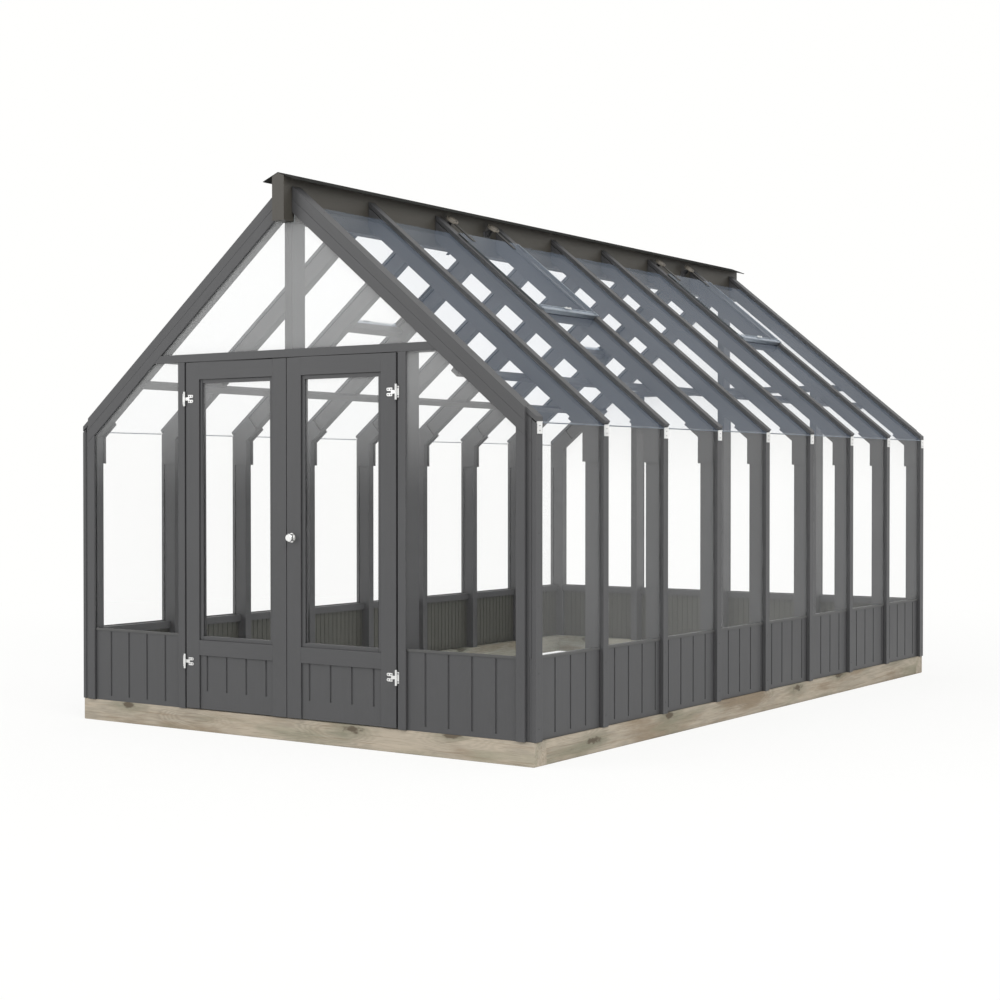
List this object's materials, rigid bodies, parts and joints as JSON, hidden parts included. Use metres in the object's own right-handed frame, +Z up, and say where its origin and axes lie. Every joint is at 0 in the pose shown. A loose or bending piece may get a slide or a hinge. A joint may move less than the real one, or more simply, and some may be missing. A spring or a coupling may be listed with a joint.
{
  "type": "timber greenhouse",
  "caption": "Apex timber greenhouse on a timber base, glazed walls and roof over grooved low panels, double doors in one gable, hinged roof vents along a raised ridge.",
  "frame": {"origin": "on the ground, under the middle of the base", "axes": "+X to the right seen from the door gable, +Y from the door gable to the rear gable, +Z up"},
  "size_m": [2.932, 4.864, 2.79],
  "materials": {
    "grey_paint": "matt grey paint on planed softwood",
    "sill_paint": "matt grey paint on a thin bead",
    "treated_timber": "sawn pressure treated softwood, weathered, with knots",
    "glass": "clear toughened glass with polished edges",
    "bright_steel": "satin stainless steel",
    "polished_steel": "polished",
    "zinc_steel": "bright zinc plate",
    "vent_alloy": "mill finish aluminium",
    "dark_sheet": "matt dark grey coated sheet"
  },
  "bodies": {
    "house": {"base_timbers": "treated_timber", "clip_screws": "zinc_steel", "corner_boards": "grey_paint", "corner_posts": "grey_paint", "door_hinge_pins": "zinc_steel", "door_hinge_plates": "bright_steel", "door_jambs": "grey_paint", "eave_gussets": "grey_paint", "gable_boards": "grey_paint", "gable_cladding": "grey_paint", "gable_glass": "glass", "gable_rafters": "grey_paint", "gable_transoms": "grey_paint", "glass_clips": "bright_steel", "king_posts": "grey_paint", "left_roof_glass": "glass", "purlins": "grey_paint", "rafter_boards": "grey_paint", "rear_studs": "grey_paint", "ridge_beam": "grey_paint", "ridge_cap": "dark_sheet", "right_roof_glass": "glass", "roof_rafters": "grey_paint", "roof_strips": "grey_paint", "sill_beads": "sill_paint", "vent_hinge_brackets": "zinc_steel", "vent_hinge_pins": "zinc_steel", "vent_trimmers": "grey_paint", "wall_cladding": "grey_paint", "wall_glass": "glass", "wall_linings": "grey_paint", "wall_posts": "grey_paint", "wall_rails": "grey_paint", "wall_strips": "grey_paint"},
    "left_door": {"left_door_frame": "grey_paint", "left_door_glass": "glass", "left_door_panel": "grey_paint", "left_door_hinges": "bright_steel", "bolt_cases": "zinc_steel"},
    "right_door": {"right_door_frame": "grey_paint", "right_door_glass": "glass", "right_door_panel": "grey_paint", "right_door_hinges": "bright_steel", "knob_roses": "polished_steel"},
    "knob": {"door_knob": "polished_steel"},
    "top_bolt": {"top_bolt": "zinc_steel"},
    "bottom_bolt": {"bottom_bolt": "zinc_steel"},
    "right_front_vent": {"right_front_vent_glass": "glass", "right_front_vent_fittings": "vent_alloy"},
    "right_front_vent_stay": {"right_front_vent_stay": "zinc_steel"},
    "right_rear_vent": {"right_rear_vent_glass": "glass", "right_rear_vent_fittings": "vent_alloy"},
    "right_rear_vent_stay": {"right_rear_vent_stay": "zinc_steel"},
    "left_front_vent": {"left_front_vent_glass": "glass", "left_front_vent_fittings": "vent_alloy"},
    "left_front_vent_stay": {"left_front_vent_stay": "zinc_steel"},
    "left_rear_vent": {"left_rear_vent_glass": "glass", "left_rear_vent_fittings": "vent_alloy"},
    "left_rear_vent_stay": {"left_rear_vent_stay": "zinc_steel"}
  },
  "joints": [
    {"name": "left_door_swing", "type": "hinge", "parent": "house", "child": "left_door", "pos_m": [-0.6845, -2.378, 1], "axis": [0, 0, -1], "range_deg": [0, 110]},
    {"name": "right_door_swing", "type": "hinge", "parent": "house", "child": "right_door", "pos_m": [0.6845, -2.378, 1], "axis": [0, 0, 1], "range_deg": [0, 110]},
    {"name": "knob_turn", "type": "hinge", "parent": "right_door", "child": "knob", "pos_m": [0.04, -2.372, 1.004], "axis": [0, -1, 0], "range_deg": [0, 90]},
    {"name": "top_bolt_slide", "type": "slide", "parent": "left_door", "child": "top_bolt", "axis": [0, 0, 1], "range_m": [0, 0.025]},
    {"name": "bottom_bolt_slide", "type": "slide", "parent": "left_door", "child": "bottom_bolt", "axis": [0, 0, -1], "range_m": [0, 0.027]},
    {"name": "right_front_vent_lift", "type": "hinge", "parent": "house", "child": "right_front_vent", "pos_m": [0.08, -0.87413, 2.69987], "axis": [0, -1, 0], "range_deg": [0, 35]},
    {"name": "right_front_vent_stay_swing", "type": "hinge", "parent": "right_front_vent", "child": "right_front_vent_stay", "pos_m": [0.66747, -0.65175, 2.20956], "axis": [0, -1, 0], "range_deg": [0, 70]},
    {"name": "right_rear_vent_lift", "type": "hinge", "parent": "house", "child": "right_rear_vent", "pos_m": [0.08, 1.45687, 2.69987], "axis": [0, -1, 0], "range_deg": [0, 35]},
    {"name": "right_rear_vent_stay_swing", "type": "hinge", "parent": "right_rear_vent", "child": "right_rear_vent_stay", "pos_m": [0.66747, 1.67925, 2.20956], "axis": [0, -1, 0], "range_deg": [0, 70]},
    {"name": "left_front_vent_lift", "type": "hinge", "parent": "house", "child": "left_front_vent", "pos_m": [-0.08, -0.87413, 2.69987], "axis": [0, 1, 0], "range_deg": [0, 35]},
    {"name": "left_front_vent_stay_swing", "type": "hinge", "parent": "left_front_vent", "child": "left_front_vent_stay", "pos_m": [-0.66747, -0.65175, 2.20956], "axis": [0, 1, 0], "range_deg": [0, 70]},
    {"name": "left_rear_vent_lift", "type": "hinge", "parent": "house", "child": "left_rear_vent", "pos_m": [-0.08, 1.45687, 2.69987], "axis": [0, 1, 0], "range_deg": [0, 35]},
    {"name": "left_rear_vent_stay_swing", "type": "hinge", "parent": "left_rear_vent", "child": "left_rear_vent_stay", "pos_m": [-0.66747, 1.67925, 2.20956], "axis": [0, 1, 0], "range_deg": [0, 70]}
  ],
  "couplings": [
    {"joint": "right_front_vent_stay_swing", "follows": "right_front_vent_lift", "ratio": 2},
    {"joint": "right_rear_vent_stay_swing", "follows": "right_rear_vent_lift", "ratio": 2},
    {"joint": "left_front_vent_stay_swing", "follows": "left_front_vent_lift", "ratio": 2},
    {"joint": "left_rear_vent_stay_swing", "follows": "left_rear_vent_lift", "ratio": 2}
  ]
}
